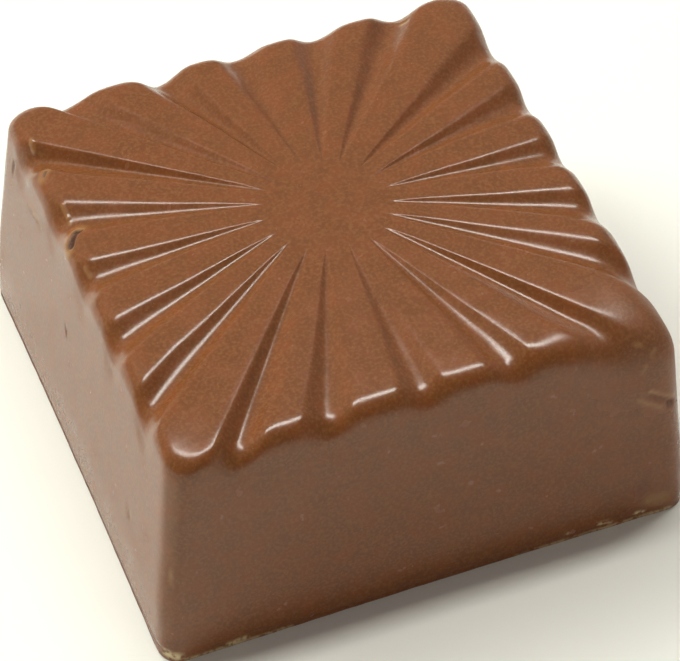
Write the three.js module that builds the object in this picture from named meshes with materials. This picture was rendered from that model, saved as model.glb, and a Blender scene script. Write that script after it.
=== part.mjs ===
import * as THREE from 'three';

// A square moulded milk chocolate with tapered sides. Its top is fluted: twenty grooves run out
// from a plain round middle, widen as they go, cross the rim and die out on the sides.
// Millimetres, +Z up, origin at the middle of the flat base, front towards -Y.

// The block
const baseWidth = 27.2;
const topWidthX = 24.57; // side to side and front to back, where the side faces meet the rim's height
const topWidthY = 25.4;
const rimHeight = 12.82;
const crownRise = 0.38; // how far the middle of the top stands above the rim
const rimBow = 0.05; // how far the rim rises between two corners
const rimRadius = 1.12;
const cornerRadiusBase = 1.1;
const cornerRadiusTop = 1.22;
const footHeight = 2.9; // below this the sides stand nearly upright
const footTuck = 0.1;
const sideHollow = 0.1; // how far the sides draw in at the middle of the base
const underEdge = 0.06; // small bevel under the base's edge

// The front right corner is worn rounder than the other three
const wornCorner = -Math.PI / 4;
const wornReach = 0.45;
const wornRimExtra = 1.7;
const wornStandOut = 0.27;

// The front left corner has sunk a little and keeps a tighter rim
const sunkCorner = (-3 * Math.PI) / 4;
const sunkReach = 0.22;
const sunkFall = 0.5;
const sunkRun = 3.5;
const sunkRimLess = 0.4;

// The grooves
const discRadius = 3.1; // the plain middle that they start from
const patternShiftY = 0.15;
const grooveWiden = 0.082; // half the groove's width for each millimetre out from the disc
const grooveDeepen = 0.054; // its depth for each millimetre out from the disc
const noseRun = 0.7; // distance over which it opens at the disc, to the next two sizes
const noseHalfWidth = 0.1;
const noseDepth = 0.04;
const floorRound = 0.4; // how round the floor is, as a share of the half width
const floorRoundRim = 0.75; // and over the rim
const shoulderSoft = 0.26; // how soft the shoulders are, as a share of the depth
const shoulderSoftRim = 0.32; // and over the rim
const widthMost = 0.84; // half the width at which it stops widening
const rimFlare = 0.4; // how much wider the groove gets as it goes over the rim
const rimGain = 0.1; // and how much deeper
const bendInside = 1.3; // how far inside the rim its floor starts to bend down
const bendRun = 2.4;
const grooveRun = 1.2; // how far down the side its end takes to level out
const reach = 1.5; // half widths from the groove's middle to where its shoulder is level
const leastSpread = 0.03; // smallest half angle, in radians, of the columns that shape one groove

// Where the grooves cross each side's rim, in millimetres from the side's middle and anticlockwise.
// Over the rim, the right and back grooves open wider on the side that comes first.
const crossings = [
  { at: [-8.75, -4.4, -0.25, 3.95, 8.5], lopsided: [0.2, 0.2, 0.2, 0.2, 0.2] },
  { at: [-8.8, -4.15, 0.25, 4.5, 9.9], lopsided: [0, 0.225, 0.45, 0.675, 0.9] },
  { at: [-9.45, -4.35, 0, 4.35, 8.85], lopsided: [0, 0, 0, 0, 0] },
  { at: [-9.45, -4.8, 0, 4.6, 9.75], lopsided: [0, 0, 0, 0, 0] },
];
const deepGroove = { index: 8, gain: 1.45 }; // the fourth one at the back
const wornGroove = { index: 19, end: 0.55 }; // beside the worn corner, its depth left over the rim

// How finely the skin is divided
const grooveSteps = [-reach, -1.12, -0.76, -0.36, 0, 0.36, 0.76, 1.12, reach];
const cornerSteps = [-0.056, -0.028, 0, 0.028, 0.056]; // radians each side of a corner's diagonal
const cornerClear = 0.068; // radians from a corner's diagonal that the grooves keep clear
const shareAfter = 0.42; // of the angle between two grooves, what the earlier one can fill
const shareBefore = 0.54; // and the later one
const ribShare = 0.44; // how far along that angle the plain column between them stands
const crownRows = [0.275, 0.34, 0.44, 0.56, 0.68, 0.8, 0.9, 0.96];
const rimRows = 7;
const runRows = 3;
const sideRows = 2;

const milkChocolate = new THREE.MeshStandardMaterial({ color: 0x7c4b2c, roughness: 0.35, metalness: 0 });

const baseHalf = baseWidth / 2;
const crownCircle = 11.4; // radius that the inner rows of the top follow before they turn square
const crownEdgeSlope = (2 * crownRise) / (topWidthX / 2 - rimRadius);

function smoothStep(share) {
  const t = Math.min(Math.max(share, 0), 1);
  return t * t * (3 - 2 * t);
}

function mix(a, b, share) {
  return a + (b - a) * share;
}

// 1 on a corner's diagonal, falling to 0 at an angle away from it on both sides
function cornerShare(theta, corner, away) {
  const off = Math.abs(Math.atan2(Math.sin(theta - corner), Math.cos(theta - corner)));
  return smoothStep(1 - off / away);
}

// The rim's radius at an angle, and the half widths that its sides stand at
function rimAt(theta) {
  const worn = cornerShare(theta, wornCorner, wornReach);
  const radius = rimRadius + wornRimExtra * worn - sunkRimLess * cornerShare(theta, sunkCorner, sunkReach);
  const topX = topWidthX / 2 + wornStandOut * worn;
  const topY = topWidthY / 2 + wornStandOut * worn;
  return { radius, topX, topY };
}

// Plan outline at one height: a rectangle with round corners, as a point at the angle theta
function outlinePoint(theta, halfX, halfY, corner) {
  const c = Math.cos(theta);
  const s = Math.sin(theta);
  const onX = Math.abs(halfX / c);
  const onY = Math.abs(halfY / s);
  let radius = Math.min(onX, onY);
  const centreX = halfX - corner;
  const centreY = halfY - corner;
  if (radius * Math.abs(c) > centreX && radius * Math.abs(s) > centreY) {
    const along = centreX * Math.abs(c) + centreY * Math.abs(s);
    const square = along * along - centreX * centreX - centreY * centreY + corner * corner;
    radius = along + Math.sqrt(Math.max(square, 0));
  }
  return [radius * c, radius * s];
}

// Outward direction of the side face that a point of the outline lies on
function sideNormal(x, y, halfX, halfY) {
  const onSideX = Math.abs(x) / halfX > Math.abs(y) / halfY;
  return onSideX ? [Math.sign(x), 0] : [0, Math.sign(y)];
}

// Half width at a height on the side face, before the rim rounds it off
function sideHalf(z, topHalf) {
  if (z < footHeight) {
    return baseHalf - (footTuck * z) / footHeight;
  }
  const share = (z - footHeight) / (rimHeight - footHeight);
  return mix(baseHalf - footTuck, topHalf, share);
}

// The rim's rounding: half width and height, from 0 on the top to 1 on the side
function rimArc(share, topHalf, radius) {
  const draft = Math.atan2(baseHalf - footTuck - topHalf, rimHeight - footHeight);
  const centreZ = rimHeight - radius * Math.cos(crownEdgeSlope);
  const drop = rimHeight - centreZ - radius * Math.sin(draft);
  const centreOut = topHalf + drop * Math.tan(draft) - radius * Math.cos(draft);
  const turned = mix(crownEdgeSlope, Math.PI / 2 - draft, share);
  return { half: centreOut + radius * Math.sin(turned), z: centreZ + radius * Math.cos(turned) };
}

// How much higher the rim stands at a point of the outline: it bows up between the corners
function rimLift(x, y, halfX, halfY) {
  const across = Math.min(Math.abs(x) / halfX, Math.abs(y) / halfY);
  return rimBow * (1 - across * across);
}

function sunk(x, y) {
  const away = Math.hypot(x + topWidthX / 2, y + topWidthY / 2);
  return sunkFall * Math.max(1 - away / sunkRun, 0) ** 2;
}

// Cross-section of a groove: 1 on its floor, 0 at its reach
function grooveShape(step, overRim) {
  const soft = mix(shoulderSoft, shoulderSoftRim, overRim);
  const floor = mix(floorRound, floorRoundRim, overRim);
  const rim = Math.hypot(1, floor);
  const section = (at) => {
    const wall = (rim - Math.hypot(at, floor)) / (rim - floor);
    return (wall + Math.hypot(wall, soft)) / 2;
  };
  if (Math.abs(step) >= reach) {
    return 0;
  }
  const level = section(reach);
  return (section(step) - level) / (section(0) - level);
}

// Each row of the skin finds a point at an angle, lowered by the depth of a groove there
function crownRow(share) {
  return {
    overRim: 0.5 * smoothStep((share - 0.6) / 0.4),
    place(theta, drop) {
      const { radius, topX, topY } = rimAt(theta);
      const edgeX = rimArc(0, topX, radius).half;
      const edgeY = rimArc(0, topY, radius).half;
      const [edgePointX, edgePointY] = outlinePoint(theta, edgeX, edgeY, cornerRadiusTop);
      const lift = share * share * rimLift(edgePointX, edgePointY, edgeX, edgeY);
      const r = share * mix(crownCircle, Math.hypot(edgePointX, edgePointY), share);
      const x = r * Math.cos(theta);
      const y = r * Math.sin(theta) + patternShiftY * (1 - share);
      const z = rimHeight + crownRise * (1 - share * share) + lift - sunk(x, y) - drop;
      return { x, y, z };
    },
  };
}

function rimRow(share) {
  return {
    overRim: 0.5 + 0.5 * smoothStep(share * 1.4),
    place(theta, drop) {
      const { radius, topX, topY } = rimAt(theta);
      const arcX = rimArc(share, topX, radius);
      const arcY = rimArc(share, topY, radius);
      const [x, y] = outlinePoint(theta, arcX.half, arcY.half, cornerRadiusTop);
      const [nx] = sideNormal(x, y, arcX.half, arcY.half);
      const arc = nx === 0 ? arcY : arcX;
      return { x, y, z: arc.z + rimLift(x, y, arcX.half, arcY.half) - sunk(x, y) - drop };
    },
  };
}

// heightFrom turns the height at which the rim or a groove ends, at that angle, into the row's own
function sideRow(heightFrom, fade) {
  return {
    overRim: 1,
    place(theta, drop) {
      const { radius, topX, topY } = rimAt(theta);
      const [topPointX, topPointY] = outlinePoint(theta, topX, topY, cornerRadiusTop);
      const lift = rimLift(topPointX, topPointY, topX, topY) - sunk(topPointX, topPointY);
      const z = heightFrom(rimArc(1, topX, radius).z + lift - drop);
      const halfX = sideHalf(z, topX);
      const halfY = sideHalf(z, topY);
      const corner = mix(cornerRadiusBase, cornerRadiusTop, z / rimHeight);
      const lean = (baseHalf - footTuck - topX) / (rimHeight - footHeight);
      const inset = Math.max(underEdge - z, 0) + drop * lean * fade;
      let [x, y] = outlinePoint(theta, halfX - inset, halfY - inset, corner - inset);
      const [nx, ny] = sideNormal(x, y, halfX, halfY);
      const across = nx === 0 ? x / halfX : y / halfY;
      const hollow = sideHollow * (1 - z / rimHeight) * (1 - across * across);
      x -= nx * hollow;
      y -= ny * hollow;
      return { x, y, z };
    },
  };
}

function skinRows() {
  const rows = crownRows.map(crownRow);
  for (let i = 0; i <= rimRows; i += 1) {
    rows.push(rimRow(i / rimRows));
  }
  for (let i = 1; i <= runRows; i += 1) {
    const share = i / runRows;
    rows.push(sideRow((end) => end - grooveRun * share, 1 - smoothStep(share)));
  }
  for (let i = 1; i <= sideRows; i += 1) {
    const share = i / sideRows;
    rows.push(sideRow((end) => mix(end - grooveRun, footHeight, share), 0));
  }
  rows.push(sideRow(() => underEdge, 0));
  rows.push(sideRow(() => 0, 0));
  return rows;
}

// Columns, anticlockwise from the middle of the front right corner: each groove's own columns move
// with its width, and plain ones stand between the grooves and round the corners
function skinColumns() {
  const grooves = crossings.flatMap(({ at, lopsided }, turn) => {
    const half = turn % 2 === 0 ? topWidthX / 2 : topWidthY / 2;
    const leans = at.map((along) => Math.atan2(along, half));
    const toCorner = Math.PI / 4 - cornerClear;
    return leans.map((lean, i) => {
      const index = turn * at.length + i;
      return {
        angle: (turn * Math.PI) / 2 + lean,
        gain: index === deepGroove.index ? deepGroove.gain : 1,
        end: index === wornGroove.index ? wornGroove.end : 1 + rimGain,
        rim: (half - rimRadius) / Math.cos(lean),
        lopsided: lopsided[i],
        roomBefore: i > 0 ? shareBefore * (lean - leans[i - 1]) : toCorner + lean,
        roomAfter: i < 4 ? shareAfter * (leans[i + 1] - lean) : toCorner - lean,
      };
    });
  });
  const columns = [];
  grooves.forEach((groove, i) => {
    if (i % 5 === 0) {
      const diagonal = (Math.floor(i / 5) * Math.PI) / 2 - Math.PI / 4;
      cornerSteps.forEach((step) => columns.push({ angle: diagonal + step }));
    } else {
      columns.push({ angle: mix(grooves[i - 1].angle, groove.angle, ribShare) });
    }
    grooveSteps.forEach((step) => columns.push({ ...groove, step }));
  });
  return columns;
}

function skinPoint(row, column) {
  if (column.step === undefined) {
    return row.place(column.angle, 0);
  }
  const middle = row.place(column.angle, 0);
  const r = Math.hypot(middle.x, middle.y);
  const out = Math.max(r - discRadius, 0);
  const opened = 1 - Math.exp(-out / noseRun);
  const bend = smoothStep((r - column.rim + bendInside) / bendRun);
  const before = column.step < 0;
  const widen = (1 + rimFlare * row.overRim) * (before ? 1 + column.lopsided * bend : 1);
  const trueHalf = (Math.min(grooveWiden * out + noseHalfWidth * opened, widthMost) * widen) / r;
  const room = (before ? column.roomBefore : column.roomAfter) / reach;
  const half = Math.min(Math.max(trueHalf, leastSpread), room);
  const full = (grooveDeepen * out + noseDepth * opened) * column.gain * mix(1, column.end, bend);
  const across = out > 0 ? (column.step * half) / Math.min(trueHalf, half) : reach;
  return row.place(column.angle + column.step * half, full * grooveShape(across, row.overRim));
}

function skinGeometry() {
  const rows = skinRows();
  const columns = skinColumns();
  const positions = [];
  rows.forEach((row) =>
    columns.forEach((column) => {
      const { x, y, z } = skinPoint(row, column);
      positions.push(x, y, z);
    }),
  );
  const crownMiddle = positions.length / 3;
  positions.push(0, patternShiftY, rimHeight + crownRise);
  const baseMiddle = crownMiddle + 1;
  positions.push(0, 0, 0);

  const n = columns.length;
  const faces = [];
  for (let i = 0; i < n; i += 1) {
    const next = (i + 1) % n;
    faces.push(crownMiddle, i, next);
    for (let k = 0; k + 1 < rows.length; k += 1) {
      const a = k * n + i;
      const b = k * n + next;
      faces.push(a, a + n, b + n, a, b + n, b);
    }
    const last = (rows.length - 1) * n;
    faces.push(baseMiddle, last + next, last + i);
  }

  const geometry = new THREE.BufferGeometry();
  geometry.setAttribute('position', new THREE.Float32BufferAttribute(positions, 3));
  geometry.setIndex(faces);
  geometry.computeVertexNormals();
  return geometry;
}

const candy = new THREE.Group();
const chocolate = new THREE.Mesh(skinGeometry(), milkChocolate);
chocolate.name = 'chocolate';
candy.add(chocolate);

export default candy;
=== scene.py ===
"""A square milk chocolate with a fluted top, on a plain pale floor."""

import math
from collections import namedtuple

import bmesh
import bpy
import numpy as np
from bpy.props import FloatProperty, FloatVectorProperty, PointerProperty
from mathutils import Matrix, Vector, noise


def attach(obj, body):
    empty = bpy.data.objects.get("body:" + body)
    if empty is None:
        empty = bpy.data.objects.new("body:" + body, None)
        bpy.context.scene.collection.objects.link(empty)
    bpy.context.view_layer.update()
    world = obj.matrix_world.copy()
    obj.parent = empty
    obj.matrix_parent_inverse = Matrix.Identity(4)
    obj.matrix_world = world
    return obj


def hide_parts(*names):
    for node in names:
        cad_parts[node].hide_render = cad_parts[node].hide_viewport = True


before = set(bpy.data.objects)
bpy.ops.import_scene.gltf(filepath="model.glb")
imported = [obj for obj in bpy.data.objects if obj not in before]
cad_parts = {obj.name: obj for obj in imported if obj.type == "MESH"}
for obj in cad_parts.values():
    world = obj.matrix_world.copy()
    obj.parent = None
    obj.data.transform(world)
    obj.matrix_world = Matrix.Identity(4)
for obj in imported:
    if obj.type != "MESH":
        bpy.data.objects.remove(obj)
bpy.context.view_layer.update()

bl_info = {
    "name": "Fluted milk chocolate",
    "version": (1, 0, 0),
    "blender": (4, 5, 0),
    "location": "3D View > Sidebar > Chocolate",
    "description": "Moulds a square fluted chocolate and sets it on a studio table",
    "category": "Add Mesh",
}

MM = 0.001


def length(name, description, default_mm):
    return FloatProperty(
        name=name, description=description, default=default_mm * MM, unit="LENGTH", precision=5
    )


def share(name, description, default, highest=1.0):
    return FloatProperty(name=name, description=description, default=default, min=0.0, max=highest)


def power(name, description, default):
    return FloatProperty(name=name, description=description, default=default, unit="POWER")


def tint(name, description, default):
    return FloatVectorProperty(
        name=name, description=description, default=default, subtype="COLOR", size=3, min=0.0, max=1.0
    )


# Settings


class BlockSizes(bpy.types.PropertyGroup):
    base_width: length("Base width", "Side of the square base", 27.2)
    top_width_x: length("Top width", "Side to side, where the sides meet the rim's height", 24.57)
    top_width_y: length("Top depth", "Front to back, where the sides meet the rim's height", 25.4)
    rim_height: length("Rim height", "Height of the top's edge", 12.82)
    crown_rise: length("Crown", "How far the middle of the top stands above the rim", 0.38)
    rim_bow: length("Rim bow", "How far the rim rises between two corners", 0.05)
    rim_radius: length("Rim radius", "Rounding between the top and the sides", 1.12)
    corner_base: length("Base corner", "Corner radius in plan at the base", 1.1)
    corner_top: length("Top corner", "Corner radius in plan at the top", 1.22)
    foot_height: length("Foot height", "Below this the sides stand nearly upright", 2.9)
    foot_tuck: length("Foot tuck", "How far the foot leans in over its height", 0.1)
    side_hollow: length("Side hollow", "How far the sides draw in at the middle of the base", 0.1)
    worn_reach: FloatProperty(
        name="Worn corner", description="How far round the worn corner reaches",
        default=0.45, subtype="ANGLE",
    )
    worn_rim: length("Worn rim", "How much rounder the rim is on the worn corner", 1.7)
    worn_stand_out: length("Worn stand-out", "How far the worn corner's wall stands out", 0.27)
    sunk_fall: length("Sunk corner", "How far the top falls towards its front left corner", 0.5)
    sunk_run: length("Sunk run", "Distance over which it falls", 3.5)
    sunk_rim: length("Sunk rim", "How much tighter the rim is on that corner", 0.4)


class FluteSizes(bpy.types.PropertyGroup):
    disc_radius: length("Plain middle", "Radius of the plain disc that the grooves start from", 3.1)
    middle_shift: length("Middle shift", "How far the grooves' centre lies behind the block's", 0.15)
    widen: share("Widening", "Half the groove's width for each length out from the disc", 0.082)
    deepen: share("Deepening", "Depth for each length out from the disc", 0.054)
    nose: length("Nose", "Length over which a groove opens at the disc", 0.7)
    nose_width: length("Nose width", "Half width that a groove opens to at the disc", 0.1)
    nose_depth: length("Nose depth", "Depth that a groove drops to at the disc", 0.04)
    floor_round: share("Round floor", "How round the floor is, as a share of the half width", 0.4)
    rim_floor: share("Rim floor", "How round the floor is over the rim", 0.75)
    shoulder_soft: share("Soft shoulder", "How soft the shoulders are, as a share of the depth", 0.26)
    rim_soft: share("Soft rim shoulder", "How soft the shoulders are on the rim", 0.32)
    widest: length("Widest", "Half width at which a groove stops widening", 0.84)
    rim_flare: share("Rim flare", "How much wider a groove gets over the rim", 0.4)
    rim_gain: share("Rim gain", "How much deeper a groove gets over the rim", 0.1)
    bend: length("Bend", "How far inside the rim a groove's floor starts to bend down", 1.3)
    bend_run: length("Bend run", "Distance over which it bends", 2.4)
    merge: length("Merge", "How far down the side a groove's end takes to level out", 1.2)
    right: FloatVectorProperty(
        name="Right", description="Crossings of the right rim, front to back",
        default=tuple(MM * x for x in (-8.75, -4.4, -0.25, 3.95, 8.5)), size=5, unit="LENGTH",
    )
    back: FloatVectorProperty(
        name="Back", description="Crossings of the back rim, right to left",
        default=tuple(MM * x for x in (-8.8, -4.15, 0.25, 4.5, 9.9)), size=5, unit="LENGTH",
    )
    left: FloatVectorProperty(
        name="Left", description="Crossings of the left rim, back to front",
        default=tuple(MM * x for x in (-9.45, -4.35, 0.0, 4.35, 8.85)), size=5, unit="LENGTH",
    )
    front: FloatVectorProperty(
        name="Front", description="Crossings of the front rim, left to right",
        default=tuple(MM * x for x in (-9.45, -4.8, 0.0, 4.6, 9.75)), size=5, unit="LENGTH",
    )
    deep_gain: share("Deep groove", "How much deeper the one deep groove at the back is", 1.45, 3.0)
    lopsided_right: share("Right lean", "How much wider a right groove's front side is over the rim", 0.2)
    lopsided_back: share("Back lean", "The same at the back, where it grows towards the left", 0.9)
    worn_end: share("Worn end", "Depth that the groove beside the worn corner keeps over the rim", 0.55)


class LipSizes(bpy.types.PropertyGroup):
    height: length("Lip height", "Height of the ragged lip round the base", 0.17)
    gap: length("Gap depth", "Depth of the thin gap above the lip", 0.06)
    ragged: length("Raggedness", "How far the lip wanders in and out", 0.05)
    corner_lift: length("Corner lift", "How much higher the lip runs round the front left corner", 0.36)


class WearSizes(bpy.types.PropertyGroup):
    ripple: length("Ripple", "Depth of the skin's small unevenness", 0.02)
    ripple_run: length("Ripple run", "Length of one ripple", 1.3)
    sag: length("Sag", "Depth of its slow unevenness", 0.05)
    sag_run: length("Sag run", "Length of one sag", 5.0)


class ChocolateLook(bpy.types.PropertyGroup):
    body: tint("Chocolate", "Colour of the chocolate", (0.181, 0.0625, 0.0180))
    warm: tint("Warm patches", "Colour of the warmer, redder patches", (0.212, 0.0645, 0.0170))
    pale: tint("Pale patches", "Colour of the paler patches and worn edges", (0.238, 0.092, 0.030))
    # The worn colour is also used for the painted highlights among the pale marks.
    worn: tint("Worn", "Colour of the chocolate where it is rubbed or chipped", (0.36, 0.19, 0.075))
    # The deep colour is also used for painted shade in pits, a notch and a crease, and for a painted shadow
    # along the base.
    deep: tint("Deep", "Colour of dark marks and pits", (0.075, 0.024, 0.008))
    # The cream colour is also used for a painted highlight along the base edge.
    cream: tint("Cream flecks", "Colour of the fat flecks along the base", (0.74, 0.60, 0.34))
    roughness: share("Roughness", "Roughness of the moulded skin", 0.22)
    worn_roughness: share("Worn roughness", "Roughness of the worn corner", 0.5)


class StudioSettings(bpy.types.PropertyGroup):
    aim: FloatVectorProperty(
        name="Aim", description="Point that the camera looks at",
        default=(0.234 * MM, -0.979 * MM, 5.221 * MM), size=3, subtype="TRANSLATION",
    )
    azimuth: FloatProperty(
        name="Azimuth", description="Camera's turn from straight in front",
        default=math.radians(-20.74), subtype="ANGLE",
    )
    elevation: FloatProperty(
        name="Elevation", description="Camera's height above the table, as an angle",
        default=math.radians(46.93), subtype="ANGLE",
    )
    roll: FloatProperty(
        name="Roll", description="Camera's turn about its own axis",
        default=math.radians(-0.785), subtype="ANGLE",
    )
    distance: length("Distance", "From the camera to its aim", 155.6)
    lens: FloatProperty(name="Lens", description="Focal length", default=166.95, unit="CAMERA")
    lamp_power: power("Lamp", "Power of the lamp overhead", 1.8)
    fill_power: power("Fill", "Power of the soft light at the back left", 3.35)
    glint_power: power("Glint", "Power of the lamp seen only in the gloss", 4.0)
    front_power: power("Front", "Power of the soft light in front", 0.48)
    floor: tint("Floor", "Colour of the floor", (0.95, 0.95, 0.87))


# The skin's shape


WORN_CORNER = -math.pi / 4
SUNK_CORNER = -3 * math.pi / 4
SUNK_REACH = 0.22  # angle from the sunk corner's diagonal to where its rim is no longer tighter
LIP_CORNER_REACH = 0.16  # angle over which the lip climbs towards that corner
LIP_WANDER = 0.05 * MM  # how far the lip's height wanders
LOWEST_SIDE_ROW = 1.9 * MM
CROWN_CIRCLE = 11.4 * MM  # radius that the top's inner rows follow before they turn square
GROOVE_REACH = 1.5  # half widths from a groove's middle to where its shoulder is level
GROOVE_STEPS = (-1.5, -1.3, -1.12, -0.95, -0.76, -0.54, -0.28, 0.0, 0.28, 0.54, 0.76, 0.95, 1.12, 1.3, 1.5)
RIB_SHARES = (0.33, 0.67)  # where the plain columns stand between two grooves
CROWN_SHARES = (
    0.045, 0.1, 0.155, 0.2, 0.235, 0.262, 0.285, 0.31, 0.34, 0.375, 0.415, 0.46,
    0.51, 0.56, 0.61, 0.66, 0.71, 0.76, 0.81, 0.855, 0.895, 0.93, 0.96, 0.985,
)  # where the top's rows lie, from its middle to the rim
BASE_SHARES = (0.995, 0.985, 0.75, 0.4)  # and the base's, from its edge to its middle
CORNER_STEPS = (-0.06, -0.042, -0.025, -0.009, 0.009, 0.025, 0.042, 0.06)
CORNER_CLEAR = 0.068  # angle from a corner's diagonal that the grooves keep clear
ROOM_BEFORE, ROOM_AFTER = 0.54, 0.42  # shares of the gap between two grooves that each can fill
LEAST_SPREAD = 0.03  # smallest half angle of a groove's columns


def smooth_step(value):
    t = min(max(value, 0.0), 1.0)
    return t * t * (3 - 2 * t)


def mix(a, b, t):
    return a + (b - a) * t


def angle_apart(a, b):
    return abs(math.atan2(math.sin(a - b), math.cos(a - b)))


def worn_share(block, theta):
    return smooth_step(1 - angle_apart(theta, WORN_CORNER) / block.worn_reach)


def rim_radius(block, theta):
    tight = smooth_step(1 - angle_apart(theta, SUNK_CORNER) / SUNK_REACH)
    return block.rim_radius + block.worn_rim * worn_share(block, theta) - block.sunk_rim * tight


def sunk(block, x, y):
    """How far the top has fallen at a place near its front left corner."""
    away = math.hypot(x + block.top_width_x / 2, y + block.top_width_y / 2)
    return block.sunk_fall * max(1 - away / block.sunk_run, 0.0) ** 2


def outline_point(theta, half_x, half_y, corner):
    """Point at an angle on a rectangle with round corners."""
    c, s = abs(math.cos(theta)), abs(math.sin(theta))
    radius = min(half_x / max(c, 1e-9), half_y / max(s, 1e-9))
    centre_x, centre_y = half_x - corner, half_y - corner
    if radius * c > centre_x and radius * s > centre_y:
        along = centre_x * c + centre_y * s
        square = along * along - centre_x**2 - centre_y**2 + corner**2
        radius = along + math.sqrt(max(square, 0.0))
    return radius * math.cos(theta), radius * math.sin(theta)


def side_normal(x, y, half_x, half_y):
    if abs(x) / half_x > abs(y) / half_y:
        return math.copysign(1.0, x), 0.0
    return 0.0, math.copysign(1.0, y)


def side_half(block, z, top_half):
    """Half width at a height on the side, before the rim rounds it off."""
    base_half = block.base_width / 2
    if z < block.foot_height:
        return base_half - block.foot_tuck * z / block.foot_height
    t = (z - block.foot_height) / (block.rim_height - block.foot_height)
    return mix(base_half - block.foot_tuck, top_half, t)


def rim_arc(block, t, top_half, radius):
    """Half width and height on the rim's rounding, t from 0 on the top to 1 on the side."""
    slope = 2 * block.crown_rise / (block.top_width_x / 2 - block.rim_radius)
    lean = block.base_width / 2 - block.foot_tuck - top_half
    draft = math.atan2(lean, block.rim_height - block.foot_height)
    centre_z = block.rim_height - radius * math.cos(slope)
    drop = block.rim_height - centre_z - radius * math.sin(draft)
    centre_out = top_half + drop * math.tan(draft) - radius * math.cos(draft)
    turned = slope + (math.pi / 2 - draft - slope) * t
    return centre_out + radius * math.sin(turned), centre_z + radius * math.cos(turned)


def rim_lift(block, x, y, half_x, half_y):
    """How far the rim has risen at a point of the outline."""
    across = min(abs(x) / half_x, abs(y) / half_y)
    return block.rim_bow * (1 - across * across)


def groove_shape(flutes, step, over_rim):
    """Cross-section of a groove: 1 on its floor, 0 at its reach."""
    soft = mix(flutes.shoulder_soft, flutes.rim_soft, over_rim)
    floor = mix(flutes.floor_round, flutes.rim_floor, over_rim)

    def section(at):
        rim = math.hypot(1, floor)
        wall = (rim - math.hypot(at, floor)) / (rim - floor)
        return (wall + math.hypot(wall, soft)) / 2

    if abs(step) >= GROOVE_REACH:
        return 0.0
    level = section(GROOVE_REACH)
    return (section(step) - level) / (section(0) - level)


def opening(flutes, out):
    """How far a groove has opened at its inner end, 0 to 1."""
    return 1 - math.exp(-max(out, 0.0) / flutes.nose)


class Row:
    """One ring of the skin. place(theta, drop) gives a point on it, lowered by a groove's depth."""

    def __init__(self, place, over_rim):
        self.place, self.over_rim = place, over_rim


def crown_row(block, flutes, t):
    def place(theta, drop=0.0):
        radius = rim_radius(block, theta)
        out = block.worn_stand_out * worn_share(block, theta)
        edge_x = rim_arc(block, 0, block.top_width_x / 2 + out, radius)[0]
        edge_y = rim_arc(block, 0, block.top_width_y / 2 + out, radius)[0]
        x, y = outline_point(theta, edge_x, edge_y, block.corner_top)
        z = block.rim_height + block.crown_rise * (1 - t * t)
        z += t * t * rim_lift(block, x, y, edge_x, edge_y)
        r = t * mix(CROWN_CIRCLE, math.hypot(x, y), t)
        x, y = r * math.cos(theta), r * math.sin(theta) + flutes.middle_shift * (1 - t)
        return Vector((x, y, z - sunk(block, x, y) - drop))

    return Row(place, smooth_step((t - 0.6) / 0.4) * 0.5)


def rim_row(block, t):
    def place(theta, drop=0.0):
        radius = rim_radius(block, theta)
        out = block.worn_stand_out * worn_share(block, theta)
        arc_x = rim_arc(block, t, block.top_width_x / 2 + out, radius)
        arc_y = rim_arc(block, t, block.top_width_y / 2 + out, radius)
        x, y = outline_point(theta, arc_x[0], arc_y[0], block.corner_top)
        nx, _ = side_normal(x, y, arc_x[0], arc_y[0])
        lift = rim_lift(block, x, y, arc_x[0], arc_y[0]) - sunk(block, x, y)
        return Vector((x, y, (arc_y if nx == 0 else arc_x)[1] + lift - drop))

    return Row(place, 0.5 + 0.5 * smooth_step(t * 1.4))


def side_row(block, height_from, fade, inset=None):
    """height_from turns the height at which the rim or a groove ends, at that angle, into the row's own."""

    def place(theta, drop=0.0):
        out = block.worn_stand_out * worn_share(block, theta)
        top_x, top_y = block.top_width_x / 2 + out, block.top_width_y / 2 + out
        x, y = outline_point(theta, top_x, top_y, block.corner_top)
        end = rim_arc(block, 1, top_x, rim_radius(block, theta))[1]
        end += rim_lift(block, x, y, top_x, top_y) - sunk(block, x, y)
        z = height_from(end - drop, theta)
        half_x, half_y = side_half(block, z, top_x), side_half(block, z, top_y)
        corner = mix(block.corner_base, block.corner_top, z / block.rim_height)
        lean = (block.base_width / 2 - block.foot_tuck - top_x) / (block.rim_height - block.foot_height)
        draw_in = (inset(theta) if inset else 0.0) + drop * lean * fade
        x, y = outline_point(theta, half_x - draw_in, half_y - draw_in, max(corner - draw_in, 0.1 * MM))
        nx, ny = side_normal(x, y, half_x, half_y)
        across = x / half_x if nx == 0 else y / half_y
        hollow = block.side_hollow * (1 - z / block.rim_height) * (1 - across * across)
        return Vector((x - nx * hollow, y - ny * hollow, z))

    return Row(place, 1.0)


def lip_rows(block, lip):
    """The last rows before the base: a thin gap, the ragged lip under it, and the edge tucked in."""

    def wander(theta, seed, fineness):
        spot = Vector((math.cos(theta) * fineness, math.sin(theta) * fineness, seed))
        return noise.noise(spot)

    def lip_height(theta):
        corner = math.exp(-((angle_apart(theta, SUNK_CORNER) / LIP_CORNER_REACH) ** 2))
        return lip.height + lip.corner_lift * corner + LIP_WANDER * wander(theta, 3.1, 9)

    def row(times, above, draw_in, ragged):
        return side_row(
            block,
            lambda _, theta: lip_height(theta) * times + above,
            0.0,
            lambda theta: draw_in + ragged * lip.ragged * wander(theta, 7.7, 26),
        )

    return [
        row(1, 0.42 * MM, 0.0, 0.0),
        row(1, 0.26 * MM, 0.01 * MM, 0.2),
        row(1, 0.14 * MM, lip.gap, 0.7),
        row(1, 0.06 * MM, lip.gap * 0.8, 0.8),
        row(0.95, 0.0, 0.03 * MM, 0.7),
        row(0.6, 0.0, 0.03 * MM, 0.7),
        row(0.2, 0.0, 0.02 * MM, 0.5),
        row(0.0, 0.0, 0.03 * MM, 0.3),
    ]


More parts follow.
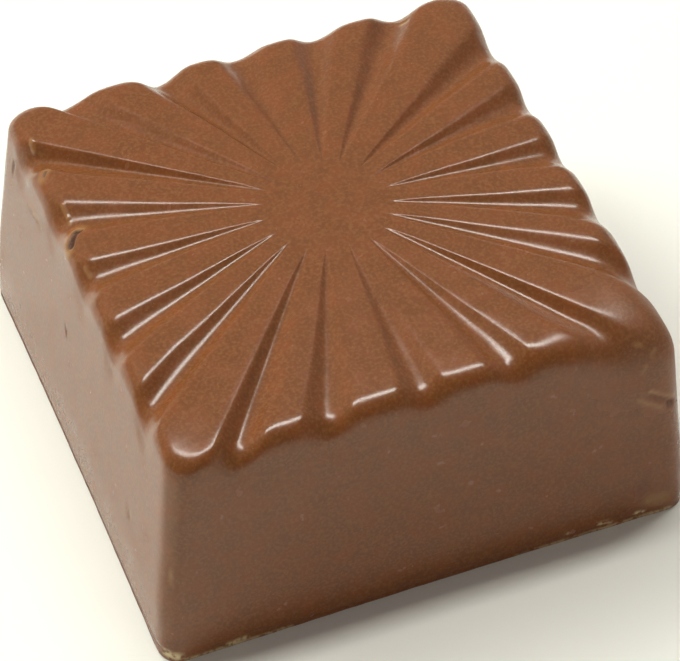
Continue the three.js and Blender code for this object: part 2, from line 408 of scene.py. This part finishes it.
def skin_rows(block, flutes, lip):
    rows = [crown_row(block, flutes, t) for t in CROWN_SHARES]
    rows += [rim_row(block, i / 9) for i in range(10)]
    for i in range(1, 5):
        t = i / 4
        rows.append(side_row(block, lambda end, _, t=t: end - flutes.merge * t, 1 - smooth_step(t)))
    for i in range(1, 10):
        t = i / 9
        rows.append(side_row(block, lambda end, _, t=t: mix(end - flutes.merge, LOWEST_SIDE_ROW, t), 0.0))
    return rows + lip_rows(block, lip)


# A groove's angle, how deep it is for its width, the room before and after it to a corner or to the
# next groove, how far out it meets the rim, and over the rim: how much wider it is on the side
# before, and its depth.
Groove = namedtuple("Groove", "angle gain before after rim lopsided end")


def grooves_from(block, flutes):
    room = math.pi / 4 - CORNER_CLEAR
    grooves = []
    for turn, crossings in enumerate((flutes.right, flutes.back, flutes.left, flutes.front)):
        half = block.top_width_x / 2 if turn % 2 == 0 else block.top_width_y / 2
        leans = [math.atan2(along, half) for along in crossings]
        for i, lean in enumerate(leans):
            before = ROOM_BEFORE * (lean - leans[i - 1]) if i > 0 else room + lean
            after = ROOM_AFTER * (leans[i + 1] - lean) if i < 4 else room - lean
            gain = flutes.deep_gain if (turn, i) == (1, 3) else 1.0
            rim = (half - block.rim_radius) / math.cos(lean)
            lopsided = (flutes.lopsided_right, flutes.lopsided_back * i / 4, 0.0, 0.0)[turn]
            end = flutes.worn_end if (turn, i) == (3, 4) else 1 + flutes.rim_gain
            grooves.append(Groove(turn * math.pi / 2 + lean, gain, before, after, rim, lopsided, end))
    return grooves


def row_spots(row, grooves, flutes):
    """The points of one ring, anticlockwise from the front right corner."""

    def bend_at(groove, r):
        return smooth_step((r - groove.rim + flutes.bend) / flutes.bend_run)

    def half_angles(groove, side):
        """The groove's true half width as an angle, and that of its columns, which never close up."""
        r = row.place(groove.angle).xy.length
        out = max(r - flutes.disc_radius, 0.0)
        width = flutes.widen * out + flutes.nose_width * opening(flutes, out)
        width = min(width, flutes.widest) * (1 + flutes.rim_flare * row.over_rim)
        if side < 0:
            width *= 1 + groove.lopsided * bend_at(groove, r)
        room = (groove.before if side < 0 else groove.after) / GROOVE_REACH
        return width / r, min(max(width / r, LEAST_SPREAD), room)

    def groove_spot(groove, step):
        true_half, half = half_angles(groove, step)
        r = row.place(groove.angle).xy.length
        out = r - flutes.disc_radius
        if out <= 0:
            return row.place(groove.angle + step * half)
        depth = flutes.deepen * out + flutes.nose_depth * opening(flutes, out)
        across = step * half / min(true_half, half)
        depth *= groove.gain * mix(1, groove.end, bend_at(groove, r))
        depth *= groove_shape(flutes, across, row.over_rim)
        return row.place(groove.angle + step * half, depth)

    spots = []
    for i, groove in enumerate(grooves):
        if i % 5 == 0:
            diagonal = (i // 5) * math.pi / 2 - math.pi / 4
            spots += [row.place(diagonal + step) for step in CORNER_STEPS]
        else:
            before = grooves[i - 1]
            end = before.angle + GROOVE_REACH * half_angles(before, 1)[1]
            start = groove.angle - GROOVE_REACH * half_angles(groove, -1)[1]
            spots += [row.place(mix(end, start, t)) for t in RIB_SHARES]
        spots += [groove_spot(groove, step) for step in GROOVE_STEPS]
    return spots


# Modelling helpers


def nothing_selected():
    if bpy.context.object and bpy.context.object.mode != "OBJECT":
        bpy.ops.object.mode_set(mode="OBJECT")
    bpy.ops.object.select_all(action="DESELECT")


def edit_mesh():
    mesh = bmesh.from_edit_mesh(bpy.context.object.data)
    mesh.verts.ensure_lookup_table()
    return mesh


def put_ring(ring, spots):
    mesh = edit_mesh()
    for index, spot in zip(ring, spots):
        mesh.verts[index].co = spot
    bmesh.update_edit_mesh(bpy.context.object.data, destructive=False)


def next_ring(ring):
    """Extrudes the selected ring and returns the new one in the same order."""
    bpy.ops.mesh.extrude_edges_move()
    mesh = edit_mesh()
    grown = []
    for index in ring:
        vertex = mesh.verts[index]
        others = (edge.other_vert(vertex) for edge in vertex.link_edges)
        grown.append(next(other.index for other in others if other.select))
    return grown


def close_opening(above, middle):
    """Draws the open ring on one side of a height together in one point."""
    bpy.ops.mesh.select_all(action="DESELECT")
    bpy.ops.mesh.select_mode(type="EDGE")
    mesh = edit_mesh()
    for edge in mesh.edges:
        edge.select = edge.is_boundary and (edge.verts[0].co.z > above) == (middle[2] > above)
    bmesh.update_edit_mesh(bpy.context.object.data)
    bpy.ops.mesh.extrude_edges_move()
    bpy.ops.mesh.select_mode(type="VERT")
    bpy.ops.mesh.merge(type="CENTER")
    next(v for v in edit_mesh().verts if v.select).co = middle
    bmesh.update_edit_mesh(bpy.context.object.data)


def finish_modifier(piece, kind, **values):
    bpy.ops.object.modifier_add(type=kind)
    modifier = piece.modifiers[-1]
    for key, value in values.items():
        setattr(modifier, key, value)
    bpy.ops.object.modifier_apply(modifier=modifier.name)


# Wear
# Wear, with painted highlights and painted shade


# Marks on the skin, each a run between two points in millimetres: colour channel, start, end, how far
# it reaches, how deep it sinks, and how strong its colour is. The channels are cream, dark and pale.
# The skin is made finer round a mark that sinks or stands out by FINE or more, and FINE_MARGIN past it.
FINE, FINE_MARGIN = 0.03, 0.15
# Some marks are painted light: pale ones include painted highlights, dark ones painted shade and a painted
# shadow, cream ones a painted highlight along the base edge.
CREAM_FLECK_AND_HIGHLIGHT, DARK_MARK_AND_SHADE, PALE_MARK_AND_HIGHLIGHT = 0, 1, 2
MARKS = (
    # A pit on the left rim with a pale worn lip; the dark colour inside it is painted shade.
    (PALE_MARK_AND_HIGHLIGHT, (-12.3, 2.35, 12.3), (-11.3, 3.45, 12.6), 0.66, -0.06, 1.0),
    (DARK_MARK_AND_SHADE, (-12.05, 2.5, 12.55), (-11.4, 3.25, 12.7), 0.34, 0.16, 1.8),
    # A notch on the left rim; the dark colour inside it is painted shade.
    (PALE_MARK_AND_HIGHLIGHT, (-11.95, 7.25, 12.6), (-11.5, 7.75, 12.7), 0.42, -0.03, 1.0),
    (DARK_MARK_AND_SHADE, (-11.85, 7.35, 12.7), (-11.65, 7.58, 12.73), 0.2, 0.07, 0.9),
    # A small ridge on the left face: the pale line along it is a painted highlight, and the dark line under
    # it is painted shade.
    (PALE_MARK_AND_HIGHLIGHT, (-12.58, 8.13, 10.32), (-12.54, 6.07, 10.66), 0.2, -0.03, 0.8),
    (DARK_MARK_AND_SHADE, (-12.59, 8.13, 10.14), (-12.56, 6.1, 10.44), 0.18, 0.03, 0.4),
    # The thin pale lines at the groove ends on the left rim are painted highlights, the lamp's reflection
    # where each floor bends down.
    (PALE_MARK_AND_HIGHLIGHT, (-11.6, 5.14, 12.67), (-11.54, 4.49, 12.36), 0.2, -0.05, 0.7),
    (PALE_MARK_AND_HIGHLIGHT, (-11.54, 4.49, 12.36), (-11.56, 4.16, 12.27), 0.2, -0.04, 0.6),
    (PALE_MARK_AND_HIGHLIGHT, (-11.65, 9.94, 12.75), (-11.68, 9.46, 12.37), 0.22, -0.05, 0.7),
    (PALE_MARK_AND_HIGHLIGHT, (-11.87, 0.86, 12.52), (-11.78, 0.4, 12.32), 0.2, -0.04, 0.6),
    (DARK_MARK_AND_SHADE, (-12.53, 10.63, 10.85), (-12.6, 10.74, 10.19), 0.3, 0.03, 0.7),
    (DARK_MARK_AND_SHADE, (-12.89, 1.98, 7.66), (-12.9, 1.72, 7.4), 0.2, 0.05, 1.0),
    (DARK_MARK_AND_SHADE, (-13.19, -7.88, 5.07), (-13.2, -8.1, 4.9), 0.45, 0.02, 0.5),
    # A crease on the worn corner: the pale lines are painted highlights along its edges, and the dark line
    # and the dark spot at its end are painted shade.
    (PALE_MARK_AND_HIGHLIGHT, (11.12, -13.17, 8.8), (12.5, -13.05, 7.85), 0.22, -0.06, 0.9),
    (DARK_MARK_AND_SHADE, (11.2, -13.2, 8.5), (12.3, -13.15, 7.62), 0.26, 0.08, 0.35),
    (PALE_MARK_AND_HIGHLIGHT, (10.57, -13.17, 8.38), (11.74, -13.24, 7.47), 0.24, -0.03, 0.6),
    (DARK_MARK_AND_SHADE, (12.2, -13.18, 7.45), (12.4, -13.1, 7.4), 0.28, 0.08, 1.0),
    # A dent near the base: its pale colour is a painted highlight where it turns up towards the lamp.
    (PALE_MARK_AND_HIGHLIGHT, (11.5, -13.54, 1.05), (12.25, -13.54, 0.95), 0.75, 0.1, 0.8),
    (DARK_MARK_AND_SHADE, (10.93, -13.49, 2.4), (11.1, -13.5, 1.8), 0.5, 0.02, 0.35),
    # The dark run under the dent is painted shade.
    (DARK_MARK_AND_SHADE, (10.0, -13.55, 0.62), (11.2, -13.55, 0.6), 0.22, 0.02, 0.6),
    (PALE_MARK_AND_HIGHLIGHT, (11.42, -12.82, 11.28), (11.17, -12.95, 10.96), 0.2, 0.03, 0.5),
    (PALE_MARK_AND_HIGHLIGHT, (10.9, -13.04, 10.54), (10.7, -13.08, 10.18), 0.16, 0.0, 0.45),
    (PALE_MARK_AND_HIGHLIGHT, (10.67, -12.61, 11.65), (10.5, -12.6, 11.62), 0.2, 0.0, 0.8),
    (PALE_MARK_AND_HIGHLIGHT, (8.48, 11.55, 12.35), (8.8, 11.45, 12.5), 0.22, 0.04, 1.0),
    (PALE_MARK_AND_HIGHLIGHT, (-12.78, -12.93, 5.95), (-12.8, -12.95, 5.3), 0.26, 0.04, 0.8),
    # The long pale run down the front left corner is a painted highlight along that edge.
    (PALE_MARK_AND_HIGHLIGHT, (-12.0, -12.3, 11.4), (-12.95, -13.05, 2.0), 0.5, 0.0, 0.35),
    # The cream runs along the bottom edge of the base are painted highlights on the lip.
    (CREAM_FLECK_AND_HIGHLIGHT, (-13.35, -13.15, 0.5), (-12.85, -13.5, 0.4), 0.42, 0.0, 1.0),
    (CREAM_FLECK_AND_HIGHLIGHT, (-12.4, -13.6, 0.12), (-7.2, -13.6, 0.1), 0.2, 0.0, 0.85),
    (CREAM_FLECK_AND_HIGHLIGHT, (-10.3, -13.6, 0.22), (-9.5, -13.6, 0.3), 0.28, 0.0, 1.0),
    (CREAM_FLECK_AND_HIGHLIGHT, (4.5, -13.6, 0.08), (12.6, -13.6, 0.12), 0.2, 0.0, 0.85),
    # Cream flecks on the front of the base.
    (CREAM_FLECK_AND_HIGHLIGHT, (7.1, -13.58, 0.5), (7.2, -13.58, 0.5), 0.2, 0.0, 1.0),
    (CREAM_FLECK_AND_HIGHLIGHT, (8.8, -13.58, 0.48), (9.4, -13.58, 0.38), 0.2, 0.0, 1.0),
    (CREAM_FLECK_AND_HIGHLIGHT, (10.8, -13.58, 0.46), (11.1, -13.58, 0.4), 0.24, 0.0, 1.0),
    # A painted shadow: the dark line along the bottom of the left face.
    (DARK_MARK_AND_SHADE, (-13.6, -12.0, 0.1), (-13.6, 12.6, 0.1), 0.4, 0.0, 0.9),
)


def unevenness(wear, spot):
    """How deep the skin lies below its true form at a point; the base stays flat."""
    fade = smooth_step((spot.z - 0.6 * MM) / (1.5 * MM))
    ripple = wear.ripple * (1 + noise.noise(spot / wear.ripple_run))
    sag = wear.sag * (1 + noise.noise(spot / wear.sag_run + Vector((5.3, 1.7, 8.1))))
    return fade * (ripple + sag) / 2


def mark_share(spots, start, end, reach):
    """1 along a mark's run, falling to 0 at its reach, for every point of an array."""
    start, run = np.array(start) * MM, (np.array(end) - start) * MM
    along = np.clip((spots - start) @ run / (run @ run), 0, 1)
    near = 1 - np.linalg.norm(spots - start - along[:, None] * run, axis=1) / (reach * MM)
    near = np.clip(near, 0, 1)
    return near * near * (3 - 2 * near)


def refine(mesh):
    """Divides the faces round the marks that change the skin's shape."""
    middles = np.empty((len(mesh.polygons), 3))
    mesh.polygons.foreach_get("center", middles.ravel())
    near = np.zeros(len(middles))
    for _, start, end, reach, depth, _ in MARKS:
        if abs(depth) >= FINE:
            near += mark_share(middles, start, end, reach + FINE_MARGIN)
    bpy.ops.object.mode_set(mode="EDIT")
    bpy.ops.mesh.select_all(action="DESELECT")
    bpy.ops.mesh.select_mode(type="FACE")
    skin = edit_mesh()
    skin.faces.ensure_lookup_table()
    for index in np.flatnonzero(near):
        skin.faces[index].select_set(True)
    bmesh.update_edit_mesh(mesh)
    bpy.ops.mesh.subdivide(number_cuts=1)
    bpy.ops.object.mode_set(mode="OBJECT")


# Operators


class CHOCOLATE_OT_block(bpy.types.Operator):
    """Mould the block: a circle grown ring by ring over the top, the rim and the sides to the base"""

    bl_idname = "chocolate.block"
    bl_label = "Mould the block"

    def execute(self, context):
        scene = context.scene
        block, flutes, lip = scene.block_sizes, scene.flute_sizes, scene.lip_sizes
        grooves = grooves_from(block, flutes)
        rings = [row_spots(row, grooves, flutes) for row in skin_rows(block, flutes, lip)]
        nothing_selected()
        bpy.ops.mesh.primitive_circle_add(vertices=len(rings[0]), radius=1 * MM, fill_type="NOTHING")
        piece = context.object
        piece.name = piece.data.name = "fluted_block"
        bpy.ops.object.mode_set(mode="EDIT")
        ring = [v.index for v in sorted(edit_mesh().verts, key=lambda v: math.atan2(v.co.y, v.co.x))]
        put_ring(ring, rings[0])
        for spots in rings[1:]:
            ring = next_ring(ring)
            put_ring(ring, spots)
        for reach in BASE_SHARES:
            spots = [Vector((spot.x * reach, spot.y * reach, 0.0)) for spot in rings[-1]]
            ring = next_ring(ring)
            put_ring(ring, spots)
        bpy.ops.object.mode_set(mode="OBJECT")
        finish_modifier(piece, "SUBSURF", levels=1, render_levels=1)
        bpy.ops.object.mode_set(mode="EDIT")
        close_opening(block.rim_height / 2, (0, 0, 0))
        close_opening(block.rim_height / 2, (0, flutes.middle_shift, block.rim_height + block.crown_rise))
        bpy.ops.mesh.select_all(action="SELECT")
        bpy.ops.mesh.normals_make_consistent(inside=False)
        bpy.ops.object.mode_set(mode="OBJECT")
        bpy.ops.object.shade_smooth()
        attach(piece, "root")
        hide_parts("chocolate")
        return {"FINISHED"}


class CHOCOLATE_OT_wear(bpy.types.Operator):
    """Wear the block: slight unevenness, pits, chips and a crease, and where their colours lie, painted
    highlights and painted shade among them
    """

    bl_idname = "chocolate.wear"
    bl_label = "Wear the block"

    def execute(self, context):
        mesh = bpy.data.objects["fluted_block"].data
        refine(mesh)
        spots, normals = np.empty((2, len(mesh.vertices), 3))
        mesh.vertices.foreach_get("co", spots.ravel())
        mesh.vertex_normals.foreach_get("vector", normals.ravel())
        sink = np.array([unevenness(context.scene.wear_sizes, v.co) for v in mesh.vertices])
        colours = np.zeros((len(spots), 4))
        for channel, start, end, reach, depth, strength in MARKS:
            near = mark_share(spots, start, end, reach)
            sink += near * depth * MM
            colours[:, channel] = np.maximum(colours[:, channel], near * strength)
        mesh.vertices.foreach_set("co", (spots - normals * sink[:, None]).ravel())
        # The wear colours hold painted highlights and painted shade as well as real marks.
        wear = mesh.color_attributes.new(name="wear", type="FLOAT_COLOR", domain="POINT")
        wear.data.foreach_set("color", colours.ravel())
        mesh.update()
        return {"FINISHED"}


class CHOCOLATE_OT_skin(bpy.types.Operator):
    """Give the block its moulded milk chocolate skin"""

    bl_idname = "chocolate.skin"
    bl_label = "Colour the chocolate"

    def execute(self, context):
        piece = bpy.data.objects["fluted_block"]
        piece.data.materials.clear()
        piece.data.materials.append(milk_chocolate(context.scene.chocolate_look))
        return {"FINISHED"}


class CHOCOLATE_OT_stage(bpy.types.Operator):
    """Set the floor, the lights and the camera"""

    bl_idname = "chocolate.stage"
    bl_label = "Set the stage"

    def execute(self, context):
        studio = context.scene.studio
        nothing_selected()
        bpy.ops.mesh.primitive_plane_add(size=3.0)
        floor = context.object
        floor.name = floor.data.name = "studio_floor"
        floor.data.materials.append(floor_paint(studio))
        level = (0, 0, 0)
        fill_turn = Vector((-0.24, 0.25, 0.42)).to_track_quat("Z", "Y").to_euler()
        front_turn = Vector((0.23, -0.47, 0.22)).to_track_quat("Z", "Y").to_euler()
        overhead, back_left, in_front = (0.07, 0.105, 0.62), (-0.3, 0.33, 0.42), (0.25, -0.5, 0.22)
        for name, spot, turn, size, watts, colour in (
            ("lamp_overhead", overhead, level, (0.46, 0.075), studio.lamp_power, (1.0, 0.99, 0.95)),
            ("lamp_glint", overhead, level, (0.52, 0.13), studio.glint_power, (1.0, 0.99, 0.93)),
            ("fill_back_left", back_left, fill_turn, (0.4, 0.4), studio.fill_power, (1.0, 1.0, 0.94)),
            ("fill_front", in_front, front_turn, (0.4, 0.4), studio.front_power, (1.0, 0.90, 0.82)),
        ):
            bpy.ops.object.light_add(type="AREA", location=spot, rotation=turn)
            lamp = context.object
            lamp.name = lamp.data.name = name
            lamp.data.shape = "RECTANGLE"
            lamp.data.size, lamp.data.size_y = size
            lamp.data.energy = watts
            lamp.data.color = colour
            lamp.visible_glossy = name.startswith("lamp")
            lamp.visible_diffuse = name != "lamp_glint"
        context.scene.world = studio_world()
        back = Vector((
            math.sin(studio.azimuth) * math.cos(studio.elevation),
            -math.cos(studio.azimuth) * math.cos(studio.elevation),
            math.sin(studio.elevation),
        ))
        eye = Vector(studio.aim) + back * studio.distance
        turned = (
            Matrix.Rotation(studio.azimuth, 4, "Z")
            @ Matrix.Rotation(math.pi / 2 - studio.elevation, 4, "X")
            @ Matrix.Rotation(studio.roll, 4, "Z")
        )
        bpy.ops.object.camera_add()
        camera = context.object
        camera.name = camera.data.name = "studio_camera"
        camera.matrix_world = Matrix.Translation(eye) @ turned
        camera.data.lens = studio.lens
        camera.data.clip_start = 0.01
        context.scene.camera = camera
        context.scene.view_settings.view_transform = "Standard"
        return {"FINISHED"}


class CHOCOLATE_PT_panel(bpy.types.Panel):
    """Lists the steps"""

    bl_label = "Fluted milk chocolate"
    bl_space_type = "VIEW_3D"
    bl_region_type = "UI"
    bl_category = "Chocolate"

    def draw(self, context):
        for name in STEPS:
            self.layout.operator(f"chocolate.{name}")


# Materials


def shader_tree(name):
    material = bpy.data.materials.new(name)
    material.use_nodes = True
    tree = material.node_tree
    return material, tree, tree.nodes["Principled BSDF"]


WORN_SPOT = (12.4 * MM, -12.4 * MM, 11.8 * MM)  # where the skin is dullest


def milk_chocolate(look):
    material, tree, skin = shader_tree("milk_chocolate_skin")

    def node(kind, **values):
        made = tree.nodes.new(kind)
        for key, value in values.items():
            if hasattr(made, key):
                setattr(made, key, value)
            else:
                made.inputs[key].default_value = value
        return made

    def link(source, target):
        tree.links.new(source, target)

    place = node("ShaderNodeTexCoord").outputs["Object"]

    def cloud(scale, detail=3.0):
        made = node("ShaderNodeTexNoise", Scale=scale, Detail=detail)
        link(place, made.inputs["Vector"])
        return made.outputs["Fac"]

    def span(value, low, high, bottom=0.0, top=1.0):
        made = node("ShaderNodeMapRange")
        link(value, made.inputs["Value"])
        for key, number in zip(("From Min", "From Max", "To Min", "To Max"), (low, high, bottom, top)):
            made.inputs[key].default_value = number
        return made.outputs["Result"]

    def blend(factor, first, second):
        made = node("ShaderNodeMix", data_type="RGBA")
        link(factor, made.inputs["Factor"])
        for socket, value in ((made.inputs["A"], first), (made.inputs["B"], second)):
            if isinstance(value, bpy.types.NodeSocket):
                link(value, socket)
            else:
                socket.default_value = (*value, 1.0)
        return made.outputs["Result"]

    marks = node("ShaderNodeSeparateColor")
    link(node("ShaderNodeAttribute", attribute_name="wear").outputs["Color"], marks.inputs["Color"])

    def ragged(channel, scale, hold):
        """A mark's share broken up by a fine cloud; hold is how much of it always stays."""
        product = node("ShaderNodeMath", operation="MULTIPLY")
        link(marks.outputs[channel], product.inputs[0])
        link(span(cloud(scale), 0.38, 0.56, hold), product.inputs[1])
        return product.outputs["Value"]

    patches = blend(span(cloud(900), 0.42, 0.62), look.body, look.warm)
    grain = blend(span(cloud(6500, 5), 0.44, 0.66), patches, look.pale)
    specks = blend(span(cloud(9500, 2), 0.71, 0.78, 0.0, 0.8), grain, look.worn)
    # Pale marks take the worn colour; some of them are painted highlights.
    rubbed_and_highlit = blend(ragged("Blue", 3500, 0.7), specks, look.worn)
    # Dark marks take the deep colour and a rougher skin; some of them are painted shade in pits, a notch
    # and a crease, and a painted shadow along the base.
    pits_and_shade = ragged("Green", 4500, 0.6)
    dark = blend(pits_and_shade, rubbed_and_highlit, look.deep)
    # Cream marks are flecks and a painted highlight along the base edge.
    link(blend(ragged("Red", 4200, 0.0), dark, look.cream), skin.inputs["Base Color"])
    apart = node("ShaderNodeVectorMath", operation="DISTANCE")
    link(place, apart.inputs[0])
    apart.inputs[1].default_value = WORN_SPOT
    worn = span(apart.outputs["Value"], 1.2 * MM, 5.5 * MM, 1.0, 0.0)
    polish = span(cloud(900), 0.3, 0.7, look.roughness * 0.85, look.roughness * 1.25)
    dull = node("ShaderNodeMix", data_type="FLOAT")
    link(worn, dull.inputs["Factor"])
    link(polish, dull.inputs["A"])
    dull.inputs["B"].default_value = look.worn_roughness
    rough = node("ShaderNodeMath", operation="MULTIPLY_ADD", use_clamp=True)
    link(pits_and_shade, rough.inputs[0])
    rough.inputs[1].default_value = 0.5
    link(dull.outputs["Result"], rough.inputs[2])
    link(rough.outputs["Value"], skin.inputs["Roughness"])
    bump = node("ShaderNodeBump", Strength=0.25, Distance=0.02 * MM)
    link(cloud(2600, 5), bump.inputs["Height"])
    link(bump.outputs["Normal"], skin.inputs["Normal"])
    skin.inputs["IOR"].default_value = 1.46
    skin.inputs["Subsurface Weight"].default_value = 0.3
    skin.inputs["Subsurface Radius"].default_value = (1.0, 0.4, 0.2)
    skin.inputs["Subsurface Scale"].default_value = 0.8 * MM
    return material


def floor_paint(studio):
    material, _, paint = shader_tree("floor_paint")
    paint.inputs["Base Color"].default_value = (*studio.floor, 1.0)
    paint.inputs["Roughness"].default_value = 0.6
    paint.inputs["Specular IOR Level"].default_value = 0.2
    return material


def studio_world():
    """A dim room, lighter behind the table, with a light strip low down in front of it."""
    world = bpy.data.worlds.new("studio_room")
    world.use_nodes = True
    tree = world.node_tree
    direction = tree.nodes.new("ShaderNodeTexCoord")
    parts = tree.nodes.new("ShaderNodeSeparateXYZ")
    tree.links.new(direction.outputs["Generated"], parts.inputs["Vector"])

    def ramp(axis, *numbers):
        made = tree.nodes.new("ShaderNodeMapRange")
        tree.links.new(parts.outputs[axis], made.inputs["Value"])
        for key, number in zip(("From Min", "From Max", "To Min", "To Max"), numbers):
            made.inputs[key].default_value = number
        return made.outputs["Result"]

    strip = tree.nodes.new("ShaderNodeMath")
    strip.operation = "MULTIPLY_ADD"
    in_front = ramp("Y", -0.9, -0.2, 0.3, 0.0)
    low_down = ramp("Z", 0.1, 0.4, 1.0, 0.0)
    towards_back = ramp("Y", -0.7, 0.6, 0.02, 0.36)
    for socket, source in zip(strip.inputs, (in_front, low_down, towards_back)):
        tree.links.new(source, socket)
    tree.links.new(strip.outputs["Value"], tree.nodes["Background"].inputs["Color"])
    return world


# Running


SETTINGS = {
    "block_sizes": BlockSizes,
    "flute_sizes": FluteSizes,
    "lip_sizes": LipSizes,
    "wear_sizes": WearSizes,
    "chocolate_look": ChocolateLook,
    "studio": StudioSettings,
}
STEPS = ("stage", "block", "wear", "skin")
OPERATORS = (CHOCOLATE_OT_block, CHOCOLATE_OT_wear, CHOCOLATE_OT_skin, CHOCOLATE_OT_stage)
CLASSES = (*SETTINGS.values(), *OPERATORS, CHOCOLATE_PT_panel)


def register():
    for made in CLASSES:
        bpy.utils.register_class(made)
    for name, group in SETTINGS.items():
        setattr(bpy.types.Scene, name, PointerProperty(type=group))


def unregister():
    for name in SETTINGS:
        delattr(bpy.types.Scene, name)
    for made in reversed(CLASSES):
        bpy.utils.unregister_class(made)


def main():
    register()
    for name in STEPS:
        getattr(bpy.ops.chocolate, name)()


if __name__ == "__main__":
    main()
